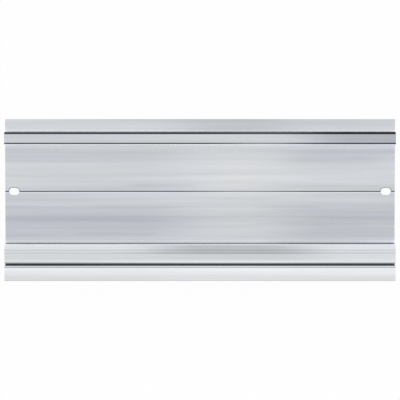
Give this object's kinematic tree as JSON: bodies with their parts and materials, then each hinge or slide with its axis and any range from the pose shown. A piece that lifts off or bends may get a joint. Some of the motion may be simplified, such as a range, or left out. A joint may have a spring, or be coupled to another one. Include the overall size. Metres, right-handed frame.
{
  "type": "plc mounting rail",
  "caption": "Extruded aluminium rail that controller modules hang on and screw to, with a top-hat foot for 35 mm rail devices.",
  "frame": {"origin": "centre of the rail's length and height, on the back plane that lies against the cabinet wall", "axes": "+X along the rail to its right end seen from the front, +Y up the rail's height to the hook and the free top edge, +Z out of the front"},
  "size_m": [0.375, 0.155, 0.016],
  "materials": {
    "rail_aluminium": "bare mill finish with fine die lines along the extrusion"
  },
  "bodies": {
    "root": {"mounting_rail": "rail_aluminium"}
  },
  "joints": []
}
